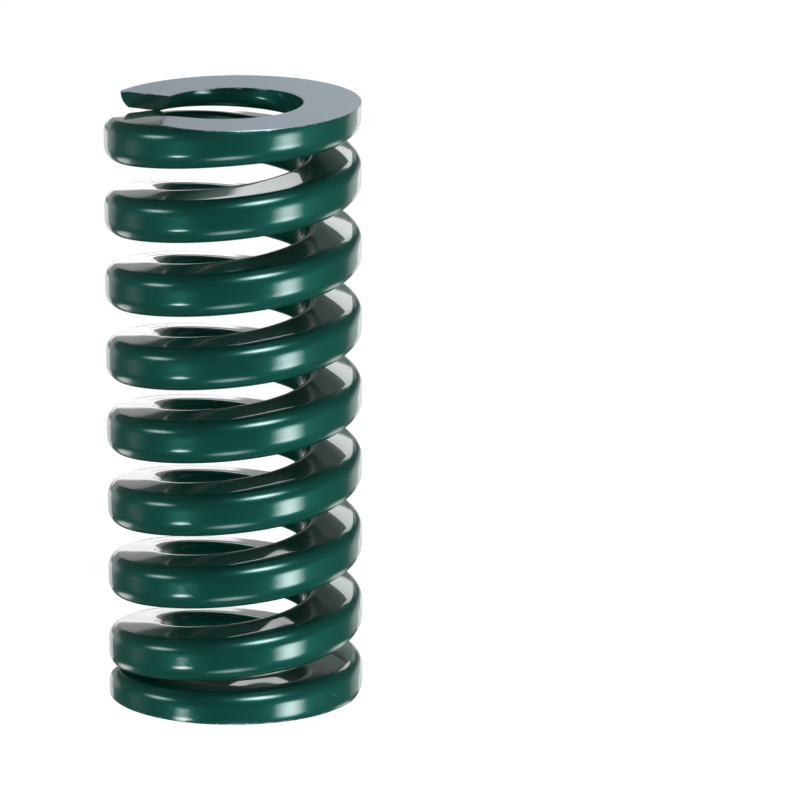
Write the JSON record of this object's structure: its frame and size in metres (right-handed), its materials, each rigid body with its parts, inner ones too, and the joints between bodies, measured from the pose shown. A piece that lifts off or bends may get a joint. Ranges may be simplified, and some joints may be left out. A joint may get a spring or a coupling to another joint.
{
  "type": "die spring",
  "caption": "Heavy-load compression spring for dies: rounded rectangular wire coiled to the right, with closed and ground ends, in dark green enamel.",
  "frame": {"origin": "on the spring's axis, in the plane of the lower ground seat", "axes": "+Z along the spring's axis from the lower seat to the upper one; the wire's lower tip lies just in front of -X and the side seen first is -Y"},
  "size_m": [0.025, 0.025, 0.0592],
  "materials": {
    "green_enamel": "gloss enamel, dark green"
  },
  "bodies": {
    "root": {"spring_coil": "green_enamel"}
  },
  "joints": []
}
